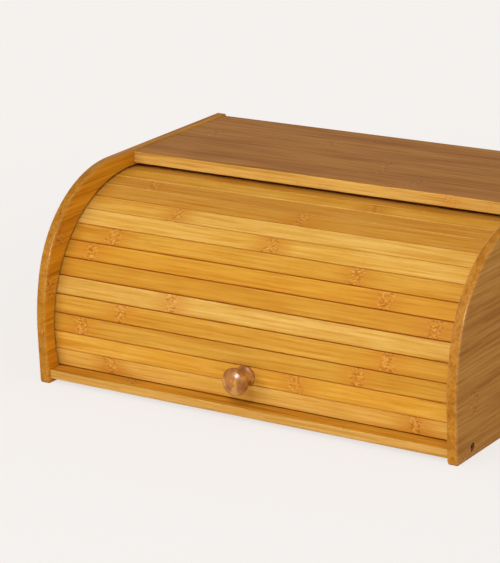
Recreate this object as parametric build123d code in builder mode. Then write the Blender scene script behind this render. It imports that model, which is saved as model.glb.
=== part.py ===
from build123d import *
import os
from math import acos, asin, cos, degrees, hypot, radians, sin, tan

# Roll-front bread box in bamboo: two side panels with a circular routed groove, three
# boards screwed between them, and a curtain of slats that turns through the grooves.
# Units are millimetres. X runs across the box, -Y is the front, +Z is up, the floor is Z = 0.

# --- overall size and side panels ---
box_width = 400.0
box_depth = 275.8
box_height = 168.8
panel_thickness = 9.0
front_curve_radius = 185.0
front_curve_angle = 15.8
top_curve_radius = 105.0
panel_corner_radius = 3.0
panel_edge_chamfer = 1.0

# --- curtain of slats, all measured from the axis that the groove is centred on ---
slat_count = 15
slat_pitch = 15.7
slat_thickness = 5.0
slat_gap = 0.42
slat_edge_chamfer = 0.5
slat_end_chamfer = 0.4
slat_face_radius = 114.6
axis_behind_front = 128.5
axis_height = 40.0
lip_clearance = 0.35
slat_end_clearance = 0.6
canvas_thickness = 0.5
canvas_side_gap = 2.5

# --- routed groove ---
groove_depth = 5.0
groove_outside_play = 1.5
groove_inside_play = 0.4

# --- boards between the side panels ---
base_setback = 2.7
base_height = 4.2
base_thickness = 7.8
board_edge_radius = 1.0
top_setback = 135.0
top_drop = 0.8
top_thickness = 10.3
rear_setback = 5.1
back_thickness = 8.0
housing_depth = 3.0
housing_play = 0.1

# --- screws through the side panels ---
screw_head_radius = 3.3
screw_head_height = 2.0
screw_shank_radius = 1.75
screw_length = 28.0
screw_recess_radius = 3.8
screw_recess_depth = 3.4
screw_play = 0.05
screw_edge_distance = 24.0
cross_width = 1.0
cross_length = 4.2
cross_depth = 1.3

# --- turned knob and its screw ---
knob_head_radius = 11.6
knob_head_half_length = 7.4
knob_head_distance = 15.3
knob_foot_radius = 8.6
knob_foot_thickness = 2.4
knob_foot_bevel = 0.8
knob_neck_radius = 5.4
knob_neck_start_radius = 6.4
knob_head_cuts = 7
knob_hole_depth = 13.0
knob_screw_radius = 1.6
knob_screw_play = 0.05
knob_screw_head_radius = 3.6
knob_screw_head_height = 2.0
knob_screw_reach = 11.0
knob_slat = 2

# --- derived positions ---
slat_angle = degrees(slat_pitch / slat_face_radius)
base_top = base_height + base_thickness
curtain_corner_radius = slat_face_radius / cos(radians(slat_angle / 2))
lip_fall = axis_height - base_top - lip_clearance
first_edge_angle = -degrees(asin(lip_fall / curtain_corner_radius))
knob_angle = first_edge_angle + (knob_slat - 0.5) * slat_angle
knob_front = (
    axis_behind_front
    - (slat_face_radius + knob_head_distance) * cos(radians(knob_angle))
    - hypot(
        knob_head_half_length * cos(radians(knob_angle)),
        knob_head_radius * sin(radians(knob_angle)),
    )
)
front_y = -(box_depth + knob_front) / 2
rear_y = front_y + box_depth
axis_y = front_y + axis_behind_front
inner_x = box_width / 2 - panel_thickness
groove_outer_radius = curtain_corner_radius + groove_outside_play
slat_inner_radius = slat_face_radius - slat_thickness
groove_inner_radius = slat_inner_radius - groove_inside_play
slat_half_length = inner_x + groove_depth - slat_end_clearance
front_straight = (
    box_height
    - front_curve_radius * sin(radians(front_curve_angle))
    - top_curve_radius * (1 - sin(radians(front_curve_angle)))
)
top_front_y = front_y + top_setback
board_rear_y = rear_y - rear_setback
back_front_y = board_rear_y - back_thickness
top_upper = box_height - top_drop
top_lower = top_upper - top_thickness
base_front_y = front_y + base_setback

# Screw places on a side panel, as (Y, Z): two in the base board, then two in the top board.
screw_places = [
    (front_y + screw_edge_distance, base_height + base_thickness / 2),
    (back_front_y - screw_edge_distance, base_height + base_thickness / 2),
    (top_front_y + screw_edge_distance, (top_upper + top_lower) / 2),
    (board_rear_y - screw_edge_distance, (top_upper + top_lower) / 2),
]

os.makedirs("parts", exist_ok=True)


def slat_plane(angle):
    """Plane across a slat: local x points out from the axis, local z runs along the slat."""
    return Plane(
        origin=(0, axis_y, axis_height),
        x_dir=(0, -cos(radians(angle)), sin(radians(angle))),
        z_dir=(1, 0, 0),
    )


def knob_plane():
    """Plane on the outer face of the knob's slat: local z points out of the box."""
    angle = radians(knob_angle)
    outward = (0, -cos(angle), sin(angle))
    return Plane(
        origin=(
            0,
            axis_y + slat_face_radius * outward[1],
            axis_height + slat_face_radius * outward[2],
        ),
        x_dir=(1, 0, 0),
        z_dir=outward,
    )


# --- side panels: flat boards with a curved front, the groove on the inner face ---
for side_name, side in (("side_panel_left", -1), ("side_panel_right", 1)):
    outside_plane = Plane(
        origin=(side * box_width / 2, 0, 0), x_dir=(0, side, 0), z_dir=(side, 0, 0)
    )
    with BuildPart() as side_panel:
        with BuildSketch(Plane.YZ.offset(side * (inner_x + panel_thickness / 2))):
            with BuildLine():
                front_edge = Line((front_y, 0), (front_y, front_straight))
                lower_curve = JernArc(
                    start=front_edge @ 1,
                    tangent=(0, 1),
                    radius=front_curve_radius,
                    arc_size=-front_curve_angle,
                )
                upper_curve = JernArc(
                    start=lower_curve @ 1,
                    tangent=lower_curve % 1,
                    radius=top_curve_radius,
                    arc_size=-(90 - front_curve_angle),
                )
                Polyline(
                    upper_curve @ 1, (rear_y, box_height), (rear_y, 0), (front_y, 0)
                )
            make_face()
        extrude(amount=panel_thickness / 2, both=True)
        square_corners = side_panel.edges().filter_by(Axis.X)
        square_corners = square_corners.filter_by(
            lambda edge: edge.center().Z < 1 or edge.center().Y > rear_y - 1
        )
        fillet(square_corners, radius=panel_corner_radius)
        rims = side_panel.faces().filter_by(Axis.X).edges()
        chamfer(rims, length=panel_edge_chamfer)
        # groove for the slat ends, stopped at the top of the base board
        with BuildSketch(Plane.YZ.offset(side * inner_x)):
            with Locations((axis_y, axis_height)):
                Circle(groove_outer_radius)
                Circle(groove_inner_radius, mode=Mode.SUBTRACT)
            with Locations((axis_y, base_top)):
                Rectangle(
                    3 * groove_outer_radius,
                    2 * groove_outer_radius,
                    align=(Align.CENTER, Align.MAX),
                    mode=Mode.SUBTRACT,
                )
        extrude(amount=side * groove_depth, mode=Mode.SUBTRACT)
        # stopped housing that holds one end of the back panel
        with BuildSketch(Plane.YZ.offset(side * inner_x)):
            with Locations(((back_front_y + board_rear_y) / 2, (base_height + top_lower) / 2)):
                Rectangle(
                    back_thickness + 2 * housing_play,
                    top_lower - base_height + 2 * housing_play,
                )
        extrude(amount=side * housing_depth, mode=Mode.SUBTRACT)
        # screw holes: a round recess for the head, then the clearance hole
        with Locations(outside_plane):
            with Locations(*[(side * place_y, place_z) for place_y, place_z in screw_places]):
                CounterBoreHole(
                    radius=screw_shank_radius + screw_play,
                    counter_bore_radius=screw_recess_radius,
                    counter_bore_depth=screw_recess_depth,
                )
    side_panel.part.label = side_name
    export_step(side_panel.part, f"parts/{side_name}.step")


def screw_pilots(places):
    """Pilot holes in both ends of a board, at the given (Y, Z) places."""
    for end in (-1, 1):
        end_plane = Plane(origin=(end * inner_x, 0, 0), x_dir=(0, end, 0), z_dir=(end, 0, 0))
        reach = screw_recess_depth + screw_length - panel_thickness + screw_play
        with Locations(end_plane):
            with Locations(*[(end * place_y, place_z) for place_y, place_z in places]):
                Hole(radius=screw_shank_radius + screw_play, depth=reach)


# --- base board: stands just clear of the floor, its front edge eased ---
with BuildPart() as base_board:
    with BuildSketch(Plane.YZ):
        with BuildLine():
            Polyline(
                (base_front_y, base_height),
                (base_front_y, base_top),
                (back_front_y, base_top),
                (back_front_y, base_height),
                close=True,
            )
        make_face()
    extrude(amount=inner_x, both=True)
    fillet(
        base_board.edges().filter_by(Axis.X).group_by(Axis.Y)[0],
        radius=board_edge_radius,
    )
    screw_pilots(screw_places[0:2])
base_board.part.label = "base_board"
export_step(base_board.part, "parts/base_board.step")

# --- top board: covers the rear of the box and the rolled-back slats ---
with BuildPart() as top_board:
    with BuildSketch(Plane.YZ):
        with BuildLine():
            Polyline(
                (top_front_y, top_lower),
                (top_front_y, top_upper),
                (board_rear_y, top_upper),
                (board_rear_y, top_lower),
                close=True,
            )
        make_face()
    extrude(amount=inner_x, both=True)
    front_long_edges = top_board.edges().filter_by(Axis.X).group_by(Axis.Y)[0]
    rear_upper_edge = top_board.edges().filter_by(Axis.X).group_by(Axis.Y)[-1].sort_by(Axis.Z)[-1]
    fillet(front_long_edges + [rear_upper_edge], radius=board_edge_radius)
    screw_pilots(screw_places[2:4])
top_board.part.label = "top_board"
export_step(top_board.part, "parts/top_board.step")

# --- back panel: behind the base board, under the top board, its ends let into the sides ---
with BuildPart() as back_panel:
    with BuildSketch(Plane.YZ):
        with BuildLine():
            Polyline(
                (back_front_y, base_height),
                (back_front_y, top_lower),
                (board_rear_y, top_lower),
                (board_rear_y, base_height),
                close=True,
            )
        make_face()
    extrude(amount=inner_x + housing_depth - housing_play, both=True)
    fillet(
        back_panel.edges().filter_by(Axis.X).group_by(Axis.Y)[-1].sort_by(Axis.Z)[0],
        radius=board_edge_radius,
    )
back_panel.part.label = "back_panel"
export_step(back_panel.part, "parts/back_panel.step")

# --- slats: bevelled so that neighbours stay a hair apart round the curve ---
side_clearance = slat_gap / 2
outer_half_width = slat_face_radius * tan(radians(slat_angle / 2)) - side_clearance
inner_half_width = slat_inner_radius * tan(radians(slat_angle / 2)) - side_clearance
for number in range(1, slat_count + 1):
    angle = first_edge_angle + (number - 0.5) * slat_angle
    with BuildPart() as slat:
        with BuildSketch(slat_plane(angle)):
            with BuildLine():
                Polyline(
                    (slat_inner_radius, -inner_half_width),
                    (slat_face_radius, -outer_half_width),
                    (slat_face_radius, outer_half_width),
                    (slat_inner_radius, inner_half_width),
                    close=True,
                )
            make_face()
        extrude(amount=slat_half_length, both=True)
        outer_face = slat.faces().sort_by(
            lambda face: (face.center().Y - axis_y) ** 2
            + (face.center().Z - axis_height) ** 2
        )[-1]
        chamfer(outer_face.edges().filter_by(Axis.X), length=slat_edge_chamfer)
        chamfer(
            slat.faces().filter_by(Axis.X).edges().filter_by(Axis.X, reverse=True),
            length=slat_end_chamfer,
        )
        if number == knob_slat:
            with Locations(knob_plane()):
                Hole(
                    radius=knob_screw_radius + knob_screw_play,
                    depth=slat_thickness,
                )
    slat_name = f"slat_{number:02d}"
    slat.part.label = slat_name
    export_step(slat.part, f"parts/{slat_name}.step")

# --- canvas: glued to the inner faces of all the slats, it is the curtain's hinge ---
canvas_outer_corner = slat_inner_radius / cos(radians(slat_angle / 2))
canvas_inner_corner = (slat_inner_radius - canvas_thickness) / cos(radians(slat_angle / 2))


def curtain_point(radius, angle):
    """Point at a radius and angle about the curtain's axis, as (Y, Z)."""
    return (
        axis_y - radius * cos(radians(angle)),
        axis_height + radius * sin(radians(angle)),
    )


seam_angles = [first_edge_angle + seam * slat_angle for seam in range(slat_count + 1)]
with BuildPart() as canvas_backing:
    with BuildSketch(Plane.YZ):
        with BuildLine():
            Polyline(
                *[curtain_point(canvas_outer_corner, seam) for seam in seam_angles],
                *[curtain_point(canvas_inner_corner, seam) for seam in reversed(seam_angles)],
                close=True,
            )
        make_face()
    extrude(amount=inner_x - canvas_side_gap, both=True)
    with Locations(knob_plane().offset(-slat_thickness)):
        Hole(
            radius=knob_screw_radius + knob_screw_play,
            depth=2 * canvas_thickness,
        )
canvas_backing.part.label = "canvas_backing"
export_step(canvas_backing.part, "parts/canvas_backing.step")

# --- knob: turned foot, waist and rounded head, with a blind hole for its screw ---
neck_turn = -degrees(acos(knob_neck_radius / knob_head_radius))
head_turns = [
    neck_turn + cut * (90 - neck_turn) / knob_head_cuts for cut in range(knob_head_cuts + 1)
]


def knob_head_point(turn):
    """Point on the head's oval outline, as (distance from the knob's axis, height)."""
    return (
        knob_head_radius * cos(radians(turn)),
        knob_head_distance + knob_head_half_length * sin(radians(turn)),
    )


knob_outward = knob_plane().z_dir
knob_section = Plane(
    origin=knob_plane().origin,
    x_dir=(1, 0, 0),
    z_dir=Vector(1, 0, 0).cross(knob_outward),
)
with BuildPart() as knob:
    with BuildSketch(knob_section):
        with BuildLine():
            Polyline(
                (0, 0),
                (knob_foot_radius, 0),
                (knob_foot_radius, knob_foot_thickness - knob_foot_bevel),
                (knob_foot_radius - knob_foot_bevel, knob_foot_thickness),
                (knob_neck_start_radius, knob_foot_thickness),
                *[knob_head_point(turn) for turn in head_turns],
                close=True,
            )
        make_face()
    revolve(axis=Axis(knob_plane().origin, knob_outward))
    with Locations(
        Plane(origin=knob_plane().origin, x_dir=(1, 0, 0), z_dir=-knob_outward)
    ):
        Hole(radius=knob_screw_radius + knob_screw_play, depth=knob_hole_depth)
knob.part.label = "knob"
export_step(knob.part, "parts/knob.step")

# --- knob screw: round head inside the curtain, shank out through the slat ---
knob_screw_seat = knob_plane().offset(-slat_thickness - canvas_thickness)
with BuildPart() as knob_screw:
    with BuildSketch(knob_screw_seat):
        Circle(knob_screw_radius)
    extrude(amount=slat_thickness + canvas_thickness + knob_screw_reach)
    with BuildSketch(knob_screw_seat):
        Circle(knob_screw_head_radius)
    extrude(amount=-knob_screw_head_height)
    with BuildSketch(knob_screw_seat.offset(-knob_screw_head_height)):
        Rectangle(cross_width, cross_length)
        Rectangle(cross_length, cross_width)
    extrude(amount=cross_depth, mode=Mode.SUBTRACT)
knob_screw.part.label = "knob_screw"
export_step(knob_screw.part, "parts/knob_screw.step")

# --- side screws: one shape, eight places, heads resting on the floor of their recesses ---
with BuildPart() as side_screws:
    for side in (-1, 1):
        seat = Plane(
            origin=(side * (box_width / 2 - screw_recess_depth), 0, 0),
            x_dir=(0, side, 0),
            z_dir=(side, 0, 0),
        )
        places = [(side * place_y, place_z) for place_y, place_z in screw_places]
        with BuildSketch(seat):
            with Locations(*places):
                Circle(screw_shank_radius)
        extrude(amount=-screw_length)
        with BuildSketch(seat):
            with Locations(*places):
                Circle(screw_head_radius)
        extrude(amount=screw_head_height)
        with BuildSketch(seat.offset(screw_head_height)):
            with Locations(*places):
                Rectangle(cross_width, cross_length)
                Rectangle(cross_length, cross_width)
        extrude(amount=-cross_depth, mode=Mode.SUBTRACT)
side_screws.part.label = "side_screws"
export_step(side_screws.part, "parts/side_screws.step")
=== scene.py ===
import math

import bpy
from mathutils import Matrix, Vector


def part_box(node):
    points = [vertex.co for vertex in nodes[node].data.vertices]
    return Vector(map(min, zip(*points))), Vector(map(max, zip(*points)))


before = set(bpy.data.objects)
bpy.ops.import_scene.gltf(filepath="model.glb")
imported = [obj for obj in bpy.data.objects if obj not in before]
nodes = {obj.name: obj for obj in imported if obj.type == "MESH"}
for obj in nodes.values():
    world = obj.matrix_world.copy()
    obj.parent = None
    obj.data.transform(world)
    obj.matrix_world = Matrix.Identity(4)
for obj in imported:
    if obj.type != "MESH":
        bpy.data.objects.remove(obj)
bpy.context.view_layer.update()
print("frame loaded:", len(nodes), "nodes")


def srgb(red, green, blue):
    # 0-255 picture values to the linear values that shaders use
    def channel(value):
        value /= 255
        return value / 12.92 if value <= 0.04045 else ((value + 0.055) / 1.055) ** 2.4
    return (channel(red), channel(green), channel(blue), 1.0)


def setInputs(tree, node, inputs):
    for socket, value in inputs.items():
        if isinstance(value, bpy.types.NodeSocket):
            tree.links.new(value, node.inputs[socket])
        else:
            node.inputs[socket].default_value = value


def addNode(tree, kind, inputs=None, **settings):
    node = tree.nodes.new(kind)
    for key, value in settings.items():
        setattr(node, key, value)
    setInputs(tree, node, inputs or {})
    return node


def maths(tree, operation, first, second=0.0):
    node = addNode(tree, "ShaderNodeMath", {0: first, 1: second}, operation=operation)
    return node.outputs[0]


def fade(tree, value, limits, span=(0.0, 1.0)):
    # smooth step through the span as the value goes from the first limit to the second
    node = addNode(
        tree, "ShaderNodeMapRange",
        {"Value": value, "From Min": limits[0], "From Max": limits[1],
         "To Min": span[0], "To Max": span[1]},
        interpolation_type="SMOOTHSTEP")
    return node.outputs["Result"]


def blendColour(tree, factor, first, second, mode="MIX"):
    node = addNode(
        tree, "ShaderNodeMix", {0: factor, 6: first, 7: second}, data_type="RGBA",
        blend_type=mode)
    return node.outputs[2]


def noise(tree, vector, scale, detail=3.0, roughness=0.5, distortion=0.0):
    node = addNode(
        tree, "ShaderNodeTexNoise",
        {"Vector": vector, "Scale": scale, "Detail": detail, "Roughness": roughness,
         "Distortion": distortion})
    return node.outputs["Fac"]


def relief(tree, height, depth, strength, normal=None):
    inputs = {"Height": height, "Distance": depth, "Strength": strength}
    if normal is not None:
        inputs["Normal"] = normal
    return addNode(tree, "ShaderNodeBump", inputs).outputs[0]


def ownPlace(tree):
    return addNode(tree, "ShaderNodeTexCoord").outputs["Object"]


def splitVector(tree, vector):
    return list(addNode(tree, "ShaderNodeSeparateXYZ", {0: vector}).outputs)


def startMaterial(name):
    material = bpy.data.materials.new(name)
    material.use_nodes = True
    tree = material.node_tree
    tree.nodes.clear()
    shader = addNode(tree, "ShaderNodeBsdfPrincipled")
    output = addNode(tree, "ShaderNodeOutputMaterial")
    tree.links.new(shader.outputs[0], output.inputs["Surface"])
    return material, tree, shader


def dress(nodeName, material):
    mesh = nodes[nodeName].data
    mesh.materials.clear()
    mesh.materials.append(material)


seedStep = (1.37, 0.71, 0.53)  # metres that each step of a seed moves the wood by


def woodAxes(tree, order, seed):
    # distances along the grain and across it, in metres: first moved by the seed, which gives
    # each board its own wood, then unmoved
    place = ownPlace(tree)
    moved = addNode(
        tree, "ShaderNodeVectorMath", {0: place, 1: tuple(seed * step for step in seedStep)},
        operation="ADD").outputs[0]
    return [
        [parts["xyz".index(axis)] for axis in order]
        for parts in (splitVector(tree, moved), splitVector(tree, place))]


def grainNoise(tree, axes, scales, **settings):
    # noise with its own number of cells per metre along the grain and across it
    stretched = [maths(tree, "MULTIPLY", axis, scale) for axis, scale in zip(axes, scales)]
    vector = addNode(tree, "ShaderNodeCombineXYZ", dict(enumerate(stretched))).outputs[0]
    return noise(tree, vector, 1.0, **settings)


# scales: cells per metre along the grain and across it
bambooNoises = {
    "fibre": {"scales": (15, 480, 480), "detail": 5.0, "roughness": 0.62},
    "band": {"scales": (5, 140, 140), "detail": 2.0},
    "drift": {"scales": (13, 24, 24), "detail": 2.0},
    "fleck": {"scales": (100, 1500, 1500), "detail": 2.0},
    "swirl": {"scales": (380, 600, 600), "detail": 2.0, "distortion": 0.6},
}

# the noise values between which each mark in the wood fades in
bambooLimits = {
    "darkFibre": (0.47, 0.66),
    "paleFibre": (0.50, 0.34),
    "band": (0.46, 0.68),
    "drift": (0.42, 0.66),
    "fleck": (0.60, 0.70),
    "dash": (0.50, 0.36),
    "spot": (0.52, 0.66),
}

knuckleShape = {
    "wander": 0.012,  # metres that the ends of the patch are ragged by
    "core": 0.3,  # share of the reach where the marks have their full strength
    "hazeReach": 2.9,  # how many times farther than the marks the haze goes
}


def bambooFibres(tree, axes):
    return {kind: grainNoise(tree, axes, **settings) for kind, settings in bambooNoises.items()}


def bambooColour(tree, grain, tone, look):
    layers = (
        ("fibre", "darkFibre", look["fibreDepth"], look["fibreShade"]),
        ("fibre", "paleFibre", look["fibreDepth"], look["fibreLight"]),
        ("band", "band", look["bandDepth"], look["fibreShade"]),
        ("drift", "drift", 1.0, look["driftTint"]),
    )
    colour = tone
    for kind, limits, depth, tint in layers:
        mask = fade(tree, grain[kind], bambooLimits[limits], (0.0, depth))
        colour = blendColour(tree, mask, colour, tint, "MULTIPLY")
    fleck = fade(tree, grain["fleck"], bambooLimits["fleck"], (0.0, look["fleckDepth"]))
    return blendColour(tree, fleck, colour, look["knuckleBrown"])


def knuckleMarks(tree, grain, offset, look):
    # a knuckle is a short ragged patch of dark dashes and pale spots in a wider amber haze
    wander = maths(
        tree, "MULTIPLY", maths(tree, "SUBTRACT", grain["band"], 0.5), knuckleShape["wander"])
    ragged = maths(tree, "ADD", maths(tree, "ABSOLUTE", offset), wander)
    reach = look["knuckleReach"]
    core = reach * knuckleShape["core"]
    near = fade(tree, ragged, (reach, core))
    spots, dashes = [
        maths(tree, "MULTIPLY", near,
              fade(tree, grain["swirl"], bambooLimits[mark], (0.0, look[mark + "Depth"])))
        for mark in ("spot", "dash")]
    haze = fade(
        tree, ragged, (reach * knuckleShape["hazeReach"], core), (0.0, look["hazeDepth"]))
    return haze, spots, dashes


def paintKnuckle(tree, colour, marks, look):
    for mark, tone in zip(marks, ("knuckleAmber", "knucklePale", "knuckleBrown")):
        colour = blendColour(tree, mark, colour, look[tone])
    return colour


lacquerLook = {
    "bevelSamples": 4,
    "edgeTurn": (0.995, 0.90),  # cosines of the turn where the edge mask starts and where it is full
    "fibreRange": (0.25, 0.75),
    "glossier": 0.05,  # roughness taken off between the fibres
    "duller": 0.08,  # roughness added along the fibres
    "reliefStrength": 0.5,
}


def bevelEdgeMask(tree, radius):
    # one where the surface turns over an edge, nothing on the flat
    soft = addNode(
        tree, "ShaderNodeBevel", {"Radius": radius},
        samples=lacquerLook["bevelSamples"]).outputs[0]
    flat = addNode(tree, "ShaderNodeNewGeometry").outputs["Normal"]
    same = addNode(tree, "ShaderNodeVectorMath", {0: soft, 1: flat}, operation="DOT_PRODUCT")
    return soft, fade(tree, same.outputs["Value"], lacquerLook["edgeTurn"])


def satinLacquer(tree, shader, look, soft, height, fibre):
    # thin lacquer that follows the fibres: slight relief, uneven sheen
    setInputs(tree, shader, {
        "Normal": relief(tree, height, look["relief"], lacquerLook["reliefStrength"], soft),
        "Roughness": fade(
            tree, fibre, lacquerLook["fibreRange"],
            (look["roughness"] - lacquerLook["glossier"],
             look["roughness"] + lacquerLook["duller"])),
        "Specular IOR Level": look["specular"],
    })


# the line that the whole curtain turns about
curtainAxis = {"y": -0.005042, "height": 0.04, "canvasRadius": 0.109}

slatLook = {
    "roughness": 0.48,
    "specular": 0.06,
    "relief": 0.00012,
    "edgeSoftness": 0.0005,
    "edgeHighlightTone": srgb(236, 192, 116),
    "edgeHighlight": 0.15,
    "fibreShade": (0.88, 0.75, 0.46, 1.0),
    "fibreLight": (1.08, 1.14, 1.45, 1.0),
    "fibreDepth": 0.95,
    "bandDepth": 0.55,
    "fleckDepth": 0.20,
    "driftTint": (0.96, 0.91, 0.74, 1.0),
    "knuckleReach": 0.0092,
    "dashDepth": 0.72,
    "spotDepth": 0.42,
    "hazeDepth": 0.55,
    "dentDepth": 0.4,  # how far the dark dashes lie below the wood, in fibre heights
    "knuckleBrown": srgb(156, 90, 14),
    "knucklePale": srgb(236, 184, 98),
    "knuckleAmber": srgb(192, 118, 28),
    "seamShadeTint": (0.88, 0.64, 0.24, 1.0),
    "halfWidth": 0.00764,  # from the middle of a slat to its long edge
    "seamLower": 0.0060,  # where the painted seam shade towards the lower and the upper edge starts
    "seamUpper": 0.0068,
}

# the four shades of bamboo that the slats are cut from
slatTones = {
    "pale": srgb(220, 170, 80),
    "golden": srgb(213, 156, 57),
    "amber": srgb(208, 147, 43),
    "brown": srgb(200, 142, 52),
}

# knuckles: where they sit, in metres right of the middle; seamShading: how dark the painted
# shade is towards the lower and the upper edge; shade: painted shade, darker than its tone where
# the lamps light the middle slats more; edgeHighlight: how pale the painted edge highlight makes
# the edges
slatStrips = {
    # slat_01 takes the pale tone as painted light, lifting the shade by the base board
    "slat_01": {"tone": "pale", "knuckles": (-0.136, 0.155), "seamShading": (0.2, 0.4)},
    "slat_02": {"tone": "golden", "knuckles": (0.046,), "seamShading": (0.4, 0.7)},
    "slat_03": {"tone": "golden", "knuckles": (-0.164, 0.104), "seamShading": (0.7, 1.0),
                "shade": 0.87},
    "slat_04": {"tone": "golden", "knuckles": (-0.124, 0.130), "seamShading": (1.0, 0.9),
                "shade": 0.90},
    "slat_05": {"tone": "pale", "knuckles": (-0.076,), "seamShading": (0.9, 0.9), "shade": 0.90},
    "slat_06": {"tone": "amber", "knuckles": (0.166,), "seamShading": (0.9, 1.0), "shade": 0.90},
    "slat_07": {"tone": "amber", "knuckles": (-0.166, 0.117), "seamShading": (1.0, 1.0),
                "shade": 0.97},
    "slat_08": {"tone": "golden", "knuckles": (-0.150, 0.086), "seamShading": (1.0, 0.3),
                "shade": 0.94},
    "slat_09": {"tone": "pale", "knuckles": (-0.001,), "seamShading": (0.3, 0.4)},
    "slat_10": {"tone": "pale", "knuckles": (-0.102,), "seamShading": (0.4, 0.6)},
    "slat_11": {"tone": "brown", "knuckles": (0.010,), "seamShading": (0.6, 0.0)},
    "slat_12": {"tone": "brown", "knuckles": (-0.145,), "seamShading": (0.0, 0.0), "edgeHighlight": 0.8},
    "slat_13": {"tone": "golden", "knuckles": (0.060,), "seamShading": (0.0, 0.0), "edgeHighlight": 0.8},
    "slat_14": {"tone": "brown", "knuckles": (-0.090,), "seamShading": (0.2, 0.2), "edgeHighlight": 0.8},
    "slat_15": {"tone": "golden", "knuckles": (0.120,), "seamShading": (0.5, 0.5)},
}


def paintedSeamShade(tree, name, seamShading, colour):
    # painted shade: darkens a slat towards the joins with its neighbours, where shade falls into
    # the gaps
    low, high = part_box(name)
    middleY, middleZ = (low[1] + high[1]) / 2, (low[2] + high[2]) / 2
    angle = math.atan2(middleZ - curtainAxis["height"], curtainAxis["y"] - middleY)
    upwards = (0.0, math.sin(angle), math.cos(angle))
    run = addNode(
        tree, "ShaderNodeVectorMath", {0: ownPlace(tree), 1: upwards}, operation="DOT_PRODUCT")
    middle = middleY * upwards[1] + middleZ * upwards[2]
    across = maths(tree, "SUBTRACT", run.outputs["Value"], middle)
    half = slatLook["halfWidth"]
    lower = fade(tree, across, (-slatLook["seamLower"], -half), (0.0, seamShading[0]))
    upper = fade(tree, across, (slatLook["seamUpper"], half), (0.0, seamShading[1]))
    return blendColour(
        tree, maths(tree, "MAXIMUM", lower, upper), colour, slatLook["seamShadeTint"], "MULTIPLY")


def slatMaterial(name, strip, seed):
    material, tree, shader = startMaterial("bamboo_" + name)
    axes, (place, _, _) = woodAxes(tree, "xyz", seed)
    grain = bambooFibres(tree, axes)
    # shade: painted shade, darker than the tone where the lamps light the middle slats more
    shade = strip.get("shade", 1.0)
    tone = tuple(part * shade for part in slatTones[strip["tone"]][:3]) + (1.0,)
    colour = bambooColour(tree, grain, tone, slatLook)
    height = grain["fibre"]
    for knuckle in strip["knuckles"]:
        marks = knuckleMarks(tree, grain, maths(tree, "SUBTRACT", place, knuckle), slatLook)
        colour = paintKnuckle(tree, colour, marks, slatLook)
        dent = maths(tree, "MULTIPLY", marks[2], slatLook["dentDepth"])
        height = maths(tree, "SUBTRACT", height, dent)
    colour = paintedSeamShade(tree, name, strip["seamShading"], colour)
    soft, edgeMask = bevelEdgeMask(tree, slatLook["edgeSoftness"])
    paintedEdgeHighlight = maths(tree, "MULTIPLY", edgeMask, strip.get("edgeHighlight", slatLook["edgeHighlight"]))
    # painted highlight: paler colour along the slat edges
    colour = blendColour(tree, paintedEdgeHighlight, colour, slatLook["edgeHighlightTone"])
    setInputs(tree, shader, {"Base Color": colour})
    satinLacquer(tree, shader, slatLook, soft, height, grain["fibre"])
    return material


for count, (slatName, strip) in enumerate(slatStrips.items(), start=1):
    dress(slatName, slatMaterial(slatName, strip, count))
print("slats dressed:", len(slatStrips))


boardLook = {
    "roughness": 0.50,
    "specular": 0.06,
    "relief": 0.00012,
    "edgeSoftness": 0.0012,
    "edgeHighlightTone": srgb(226, 172, 104),
    "edgeHighlight": 0.28,
    "coatRoughness": 0.20,
    "fibreShade": (0.78, 0.68, 0.48, 1.0),
    "fibreLight": (1.12, 1.15, 1.30, 1.0),
    "fibreDepth": 0.90,
    "bandDepth": 0.90,
    "fleckDepth": 0.20,
    "driftTint": (0.93, 0.90, 0.82, 1.0),
    "facing": (0.6, 0.9),  # how squarely a surface looks along the axis to count as a face
    "stripShift": 1.0,  # keeps the count of strips above nothing
    "stripShade": (0.86, 0.79, 0.66, 1.0),
    "stripContrast": 0.8,
    "jointBrown": srgb(104, 60, 20),
    "jointLimits": (0.470, 0.5),  # in strip widths from the middle of a strip
    "jointDepth": 0.40,
    "jointDent": 0.8,
    "knuckleReach": 0.008,
    "knuckleSpread": 7.0,  # how far the strips' knuckles move apart, in spacings
    "dashDepth": 0.60,
    "spotDepth": 0.40,
    "hazeDepth": 0.14,
    "knuckleBrown": srgb(110, 62, 18),
    "knucklePale": srgb(206, 152, 84),
    "knuckleAmber": srgb(168, 100, 30),
    "edgeKnuckleShare": 0.45,  # how strong a knuckle on the front edge is beside a slat's
    "cornerShadeReach": 0.004,  # painted shade in the corners and the screw recesses
    "cornerShadeLimits": (0.62, 0.18),
    "cornerShadeSamples": 8,
    "cornerShadeTint": (0.58, 0.40, 0.20, 1.0),
}

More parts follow.
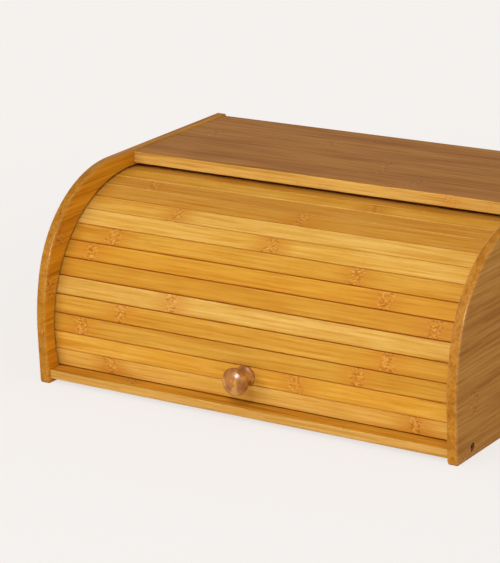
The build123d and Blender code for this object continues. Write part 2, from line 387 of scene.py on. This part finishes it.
# faces are named by the axis that they look along; the order of axes is along the grain first,
# then across the glued strips; edgeKnuckles: knuckles that show on the board's front edge;
# edgeCoat: how much lacquer gathers on the rounded edges
boards = {
    # the inner faces (faceUp on the left panel, faceDown on the right) are a deeper orange than
    # the outer faces: painted bounce light from the slats
    "side_panel_left": {
        "axes": "yzx", "faceAxis": 0, "faceUp": (216, 146, 32), "faceDown": (181, 128, 58),
        "edge": (179, 120, 34), "stripWidth": 0.0215, "stripStart": 0.004,
        "knuckleSpacing": 0.31, "edgeCoat": 0.15, "seed": 3,
    },
    "side_panel_right": {
        "axes": "yzx", "faceAxis": 0, "faceUp": (181, 128, 58), "faceDown": (216, 146, 32),
        "edge": (181, 121, 36), "stripWidth": 0.0215, "stripStart": 0.0,
        "knuckleSpacing": 0.31, "edgeCoat": 1.0, "seed": 7,
    },
    "base_board": {
        "axes": "xyz", "faceAxis": 2, "faceUp": (208, 148, 46), "faceDown": (190, 134, 62),
        "edge": (203, 154, 75), "stripWidth": 0.020, "stripStart": 0.006,
        "knuckleSpacing": 0.33, "edgeCoat": 0.3, "seed": 11,
    },
    # the top face is darker than the edges partly by its own tone and partly as painted shade for
    # weak light from above
    "top_board": {
        "axes": "xyz", "faceAxis": 2, "faceUp": (170, 113, 42), "faceDown": (190, 134, 62),
        "edge": (215, 166, 81), "stripWidth": 0.0198, "stripStart": 0.0,
        "knuckleSpacing": 0.36, "edgeKnuckles": (0.120,), "edgeCoat": 0.3, "seed": 14,
    },
    "back_panel": {
        "axes": "xzy", "faceAxis": 1, "faceUp": (178, 122, 56), "faceDown": (196, 138, 62),
        "edge": (206, 143, 56), "stripWidth": 0.0205, "stripStart": 0.0,
        "knuckleSpacing": 0.34, "edgeCoat": 0.3, "seed": 19,
    },
}


def boardFaces(tree, board):
    # one on the face that looks up the axis, on the face that looks down it, and on either
    normal = addNode(tree, "ShaderNodeTexCoord").outputs["Normal"]
    facing = splitVector(tree, normal)[board["faceAxis"]]
    start, full = boardLook["facing"]
    onUp, onDown = fade(tree, facing, (start, full)), fade(tree, facing, (-start, -full))
    return onUp, onDown, maths(tree, "MAXIMUM", onUp, onDown)


def gluedStrips(tree, board, across):
    # a chance value for each strip, and the distance from its middle in strip widths
    strip = maths(
        tree, "DIVIDE",
        maths(tree, "ADD", across, board["stripStart"] + boardLook["stripShift"]),
        board["stripWidth"])
    number = maths(tree, "ADD", maths(tree, "FLOOR", strip), board["seed"])
    chance = addNode(
        tree, "ShaderNodeTexWhiteNoise", {"W": number}, noise_dimensions="1D").outputs["Value"]
    fromMiddle = maths(
        tree, "ABSOLUTE", maths(tree, "SUBTRACT", maths(tree, "FRACT", strip), 0.5))
    return chance, fromMiddle


def knuckleOffset(tree, board, place, chance):
    # distance from a strip's nearest knuckle, where each strip starts at its own place
    turn = maths(
        tree, "FRACT",
        maths(tree, "ADD", maths(tree, "DIVIDE", place, board["knuckleSpacing"]),
              maths(tree, "MULTIPLY", chance, boardLook["knuckleSpread"])))
    return maths(tree, "MULTIPLY", maths(tree, "SUBTRACT", turn, 0.5), board["knuckleSpacing"])


def scaledMarks(tree, marks, share):
    return [maths(tree, "MULTIPLY", mark, share) for mark in marks]


def boardMaterial(name, board):
    material, tree, shader = startMaterial("bamboo_" + name)
    axes, (place, across, _) = woodAxes(tree, board["axes"], board["seed"])
    grain = bambooFibres(tree, axes)
    onUp, onDown, onFace = boardFaces(tree, board)
    chance, fromMiddle = gluedStrips(tree, board, across)

    tone = blendColour(tree, onUp, srgb(*board["edge"]), srgb(*board["faceUp"]))
    tone = blendColour(tree, onDown, tone, srgb(*board["faceDown"]))
    colour = bambooColour(tree, grain, tone, boardLook)
    darker = maths(
        tree, "MULTIPLY", maths(tree, "MULTIPLY", chance, onFace), boardLook["stripContrast"])
    colour = blendColour(tree, darker, colour, boardLook["stripShade"], "MULTIPLY")
    joint = maths(
        tree, "MULTIPLY",
        fade(tree, fromMiddle, boardLook["jointLimits"], (0.0, boardLook["jointDepth"])), onFace)
    colour = blendColour(tree, joint, colour, boardLook["jointBrown"])

    offset = knuckleOffset(tree, board, place, chance)
    marks = scaledMarks(tree, knuckleMarks(tree, grain, offset, boardLook), onFace)
    colour = paintKnuckle(tree, colour, marks, boardLook)
    for knuckle in board.get("edgeKnuckles", ()):
        onEdge = fade(tree, onFace, (1.0, 0.0), (0.0, boardLook["edgeKnuckleShare"]))
        offset = maths(tree, "SUBTRACT", place, knuckle)
        marks = scaledMarks(tree, knuckleMarks(tree, grain, offset, slatLook), onEdge)
        colour = paintKnuckle(tree, colour, marks, slatLook)

    soft, edgeMask = bevelEdgeMask(tree, boardLook["edgeSoftness"])
    paintedEdgeHighlight = maths(tree, "MULTIPLY", edgeMask, boardLook["edgeHighlight"])
    # painted highlight: paler colour along the rounded board edges
    colour = blendColour(tree, paintedEdgeHighlight, colour, boardLook["edgeHighlightTone"])
    # painted shade: ambient occlusion darkens the colour in corners, gaps and screw recesses
    corner = addNode(
        tree, "ShaderNodeAmbientOcclusion", {"Distance": boardLook["cornerShadeReach"]},
        samples=boardLook["cornerShadeSamples"]).outputs["AO"]
    paintedCornerShade = fade(tree, corner, boardLook["cornerShadeLimits"])
    colour = blendColour(tree, paintedCornerShade, colour, boardLook["cornerShadeTint"], "MULTIPLY")
    setInputs(tree, shader, {
        "Base Color": colour,
        "Coat Weight": maths(tree, "MULTIPLY", edgeMask, board["edgeCoat"]),
        "Coat Normal": soft,
        "Coat Roughness": boardLook["coatRoughness"],
    })
    dent = maths(tree, "MULTIPLY", joint, boardLook["jointDent"])
    height = maths(tree, "SUBTRACT", grain["fibre"], dent)
    satinLacquer(tree, shader, boardLook, soft, height, grain["fibre"])
    return material


for boardName, board in boards.items():
    dress(boardName, boardMaterial(boardName, board))
print("boards dressed:", len(boards))


knobLook = {
    "tone": srgb(170, 106, 40),
    "dark": srgb(122, 72, 22),
    "pale": srgb(202, 148, 70),
    "figure": {"scales": (60, 190, 120), "detail": 4.0, "roughness": 0.50},
    "pores": {"scales": (150, 1500, 1100), "detail": 2.0},
    "darkFigure": (0.50, 0.66),
    "darkDepth": 0.65,
    "paleFigure": (0.47, 0.35),
    "paleDepth": 0.8,
    "poreLimits": (0.60, 0.70),
    "poreDepth": 0.35,
    "roughness": 0.40,
    "glossier": 0.04,
    "duller": 0.06,
    "sheenRange": (0.3, 0.7),
    "specular": 0.05,
    "coat": 0.5,
    "coatRoughness": 0.28,
    "edgeSoftness": 0.0026,
    "relief": 0.00003,
    "reliefStrength": 0.4,
    "seed": 8,
}


def knobMaterial():
    look = knobLook
    material, tree, shader = startMaterial("turned_knob_wood")
    axes, _ = woodAxes(tree, "yxz", look["seed"])
    figure = grainNoise(tree, axes, **look["figure"])
    pores = grainNoise(tree, axes, **look["pores"])
    dark = fade(tree, figure, look["darkFigure"], (0.0, look["darkDepth"]))
    pale = fade(tree, figure, look["paleFigure"], (0.0, look["paleDepth"]))
    pitted = fade(tree, pores, look["poreLimits"], (0.0, look["poreDepth"]))
    colour = blendColour(tree, dark, look["tone"], look["dark"])
    colour = blendColour(tree, pale, colour, look["pale"])
    colour = blendColour(tree, pitted, colour, look["dark"])
    soft, _ = bevelEdgeMask(tree, look["edgeSoftness"])
    setInputs(tree, shader, {
        "Base Color": colour,
        "Roughness": fade(
            tree, figure, look["sheenRange"],
            (look["roughness"] - look["glossier"], look["roughness"] + look["duller"])),
        "Specular IOR Level": look["specular"],
        "Coat Weight": look["coat"],
        "Coat Roughness": look["coatRoughness"],
        "Normal": relief(tree, figure, look["relief"], look["reliefStrength"], soft),
        "Coat Normal": soft,
    })
    return material


dress("knob", knobMaterial())
print("knob dressed")


canvasLook = {
    "thread": 0.0009,  # distance from one thread to the next
    "tone": srgb(152, 104, 52),
    "gap": srgb(104, 66, 28),
    "gapDepth": 0.5,
    "mottleScale": 60.0,
    "mottleRoughness": 0.6,
    "mottleLimits": (0.4, 0.7),
    "mottleDepth": 0.1,
    "relief": 0.0002,
    "reliefStrength": 0.6,
    "roughness": 0.9,
    "specular": 0.05,
}


def canvasMaterial():
    look = canvasLook
    material, tree, shader = startMaterial("canvas_weave")
    place = ownPlace(tree)
    across, depth, up = splitVector(tree, place)
    # the cloth curves about the curtain's axis, so the distance round it comes from the angle
    angle = maths(
        tree, "ARCTAN2", maths(tree, "SUBTRACT", up, curtainAxis["height"]),
        maths(tree, "SUBTRACT", depth, curtainAxis["y"]))
    threads = 2 * math.pi / look["thread"]
    warp = maths(tree, "SINE", maths(tree, "MULTIPLY", across, threads))
    weft = maths(
        tree, "SINE", maths(tree, "MULTIPLY", angle, curtainAxis["canvasRadius"] * threads))
    weave = fade(tree, maths(tree, "MULTIPLY", warp, weft), (-1.0, 1.0))
    mottle = noise(tree, place, look["mottleScale"], roughness=look["mottleRoughness"])
    colour = blendColour(
        tree, maths(tree, "MULTIPLY", weave, look["gapDepth"]), look["tone"], look["gap"])
    colour = blendColour(
        tree, fade(tree, mottle, look["mottleLimits"], (0.0, look["mottleDepth"])), colour,
        look["gap"])
    setInputs(tree, shader, {
        "Base Color": colour,
        "Normal": relief(tree, weave, look["relief"], look["reliefStrength"]),
        "Roughness": look["roughness"],
        "Specular IOR Level": look["specular"],
    })
    return material


dress("canvas_backing", canvasMaterial())
print("canvas dressed")


screwLooks = {
    "side_screws": {
        "name": "brass_screw_head", "tone": srgb(160, 112, 50), "dull": srgb(92, 58, 24),
        "roughness": 0.34,
    },
    "knob_screw": {
        "name": "plated_screw_head", "tone": srgb(178, 176, 170), "dull": srgb(120, 116, 110),
        "roughness": 0.30,
    },
}

screwWear = {
    "scale": 700.0,
    "noiseRoughness": 0.6,
    "dullLimits": (0.4, 0.7),
    "dullDepth": 0.7,
    "roughLimits": (0.3, 0.7),
    "rougher": 0.2,
    "relief": 0.00003,
    "reliefStrength": 0.5,
}


def screwMaterial(look):
    material, tree, shader = startMaterial(look["name"])
    wear = noise(
        tree, ownPlace(tree), screwWear["scale"], roughness=screwWear["noiseRoughness"])
    dull = fade(tree, wear, screwWear["dullLimits"], (0.0, screwWear["dullDepth"]))
    setInputs(tree, shader, {
        "Base Color": blendColour(tree, dull, look["tone"], look["dull"]),
        "Roughness": fade(
            tree, wear, screwWear["roughLimits"],
            (look["roughness"], look["roughness"] + screwWear["rougher"])),
        "Normal": relief(tree, wear, screwWear["relief"], screwWear["reliefStrength"]),
        "Metallic": 1.0,
    })
    return material


for screwName, look in screwLooks.items():
    dress(screwName, screwMaterial(look))
print("screws dressed")


studio = {
    "paper": srgb(245, 241, 238),
    "floorPale": srgb(252, 250, 248),
    "floorDark": srgb(244, 240, 236),
    "floorMottleScale": 9.0,
    "floorMottleLimits": (0.3, 0.7),
    "floorMottleDepth": 0.04,
    "floorRoughness": 0.9,
    "floorSpecular": 0.1,
    "floorSize": 14.0,
    "shadowShare": 0.20,  # how much of the floor's own shading the camera sees by the box
    "shadowLimits": (0.30, 0.85),  # metres from the middle between which that share fades
    "ambient": 0.50,
    "ambientColour": (1.0, 1.0, 1.0, 1.0),
    # lights: what the lamp reaches, plain surfaces or its mirror image in the lacquer
    "lamps": {
        "front_box": {
            "place": (-1.3, -2.9, 1.5), "aim": (0, 0, 0.07), "size": 1.6, "watts": 36,
            "tint": (1.0, 1.0, 1.0), "lights": "plain",
        },
        "high_box": {
            "place": (0.58, -1.70, 1.75), "aim": (0, 0, 0.1), "size": 0.5, "watts": 18,
            "tint": (1.0, 1.0, 1.0), "lights": "plain",
        },
        "right_fill": {
            "place": (2.6, -1.7, 0.52), "aim": (0, 0, 0.08), "size": 1.4, "watts": 12,
            "tint": (1.0, 1.0, 1.0), "lights": "plain",
        },
        "glint_box": {
            "place": (0.27, -2.04, 1.47), "aim": (0, -0.14, 0.03), "size": 0.80, "watts": 215,
            "tint": (1.0, 0.86, 0.74), "lights": "mirror",
        },
    },
}


def paperForCamera(tree):
    # one for what the camera, a mirror or glass sees, nothing for plain light
    path = addNode(tree, "ShaderNodeLightPath").outputs
    seen = maths(tree, "MAXIMUM", path["Is Camera Ray"], path["Is Glossy Ray"])
    return maths(tree, "MAXIMUM", seen, path["Is Transmission Ray"])


def floorMaterial():
    material, tree, shader = startMaterial("paper_floor")
    place = ownPlace(tree)
    mottle = noise(tree, place, studio["floorMottleScale"], detail=2.0)
    mottle = fade(
        tree, mottle, studio["floorMottleLimits"], (0.0, studio["floorMottleDepth"]))
    setInputs(tree, shader, {
        "Base Color": blendColour(tree, mottle, studio["floorPale"], studio["floorDark"]),
        "Roughness": studio["floorRoughness"],
        "Specular IOR Level": studio["floorSpecular"],
    })
    glow = addNode(tree, "ShaderNodeEmission", {"Color": studio["paper"], "Strength": 1.0})
    reach = addNode(tree, "ShaderNodeVectorMath", {0: place}, operation="LENGTH").outputs["Value"]
    shaded = fade(tree, reach, studio["shadowLimits"], (studio["shadowShare"], 0.0))
    share = maths(
        tree, "MULTIPLY", paperForCamera(tree), maths(tree, "SUBTRACT", 1.0, shaded))
    mix = addNode(
        tree, "ShaderNodeMixShader", {0: share, 1: shader.outputs[0], 2: glow.outputs[0]})
    output = [node for node in tree.nodes if node.type == "OUTPUT_MATERIAL"][0]
    setInputs(tree, output, {"Surface": mix.outputs[0]})
    return material


def buildFloor():
    half = studio["floorSize"] / 2
    mesh = bpy.data.meshes.new("paper_floor")
    mesh.from_pydata(
        [(-half, -half, 0), (half, -half, 0), (half, half, 0), (-half, half, 0)], [],
        [(0, 1, 2, 3)])
    floor = bpy.data.objects.new("paper_floor", mesh)
    bpy.context.scene.collection.objects.link(floor)
    mesh.materials.append(floorMaterial())


def buildWorld():
    world = bpy.data.worlds.new("studio_world")
    bpy.context.scene.world = world
    world.use_nodes = True
    tree = world.node_tree
    tree.nodes.clear()
    light = addNode(
        tree, "ShaderNodeBackground",
        {"Color": studio["ambientColour"], "Strength": studio["ambient"]})
    backdrop = addNode(
        tree, "ShaderNodeBackground", {"Color": studio["paper"], "Strength": 1.0})
    mix = addNode(
        tree, "ShaderNodeMixShader",
        {0: paperForCamera(tree), 1: light.outputs[0], 2: backdrop.outputs[0]})
    addNode(tree, "ShaderNodeOutputWorld", {"Surface": mix.outputs[0]})


def buildLamps():
    for lampName, lamp in studio["lamps"].items():
        data = bpy.data.lights.new(lampName, "AREA")
        data.shape = "SQUARE"
        data.size = lamp["size"]
        data.energy = lamp["watts"]
        data.color = lamp["tint"]
        box = bpy.data.objects.new(lampName, data)
        box.location = lamp["place"]
        box.visible_glossy = lamp["lights"] == "mirror"
        box.visible_diffuse = lamp["lights"] == "plain"
        towards = Vector(lamp["aim"]) - Vector(lamp["place"])
        box.rotation_euler = towards.to_track_quat("-Z", "Y").to_euler()
        bpy.context.scene.collection.objects.link(box)


buildFloor()
buildWorld()
buildLamps()
bpy.context.scene.view_settings.view_transform = "Standard"
print("studio ready")


# worked out from the straight edges of the box in the photo
photoCamera = {
    "place": (1.12467, -1.73221, 0.74643),
    "turn": 34.706,  # degrees to the left of straight at the front
    "down": 17.839,
    "roll": -2.434,
    "lens": 168.12,
    "sensor": 36.0,
    "sees": 50.0,  # metres
}


def buildCamera():
    data = bpy.data.cameras.new("photo_camera")
    data.lens = photoCamera["lens"]
    data.sensor_width = photoCamera["sensor"]
    data.clip_end = photoCamera["sees"]
    camera = bpy.data.objects.new("photo_camera", data)
    camera.matrix_world = (
        Matrix.Translation(photoCamera["place"])
        @ Matrix.Rotation(math.radians(photoCamera["turn"]), 4, "Z")
        @ Matrix.Rotation(math.radians(90 - photoCamera["down"]), 4, "X")
        @ Matrix.Rotation(math.radians(photoCamera["roll"]), 4, "Z"))
    bpy.context.scene.collection.objects.link(camera)
    bpy.context.scene.camera = camera


buildCamera()
print("camera set")
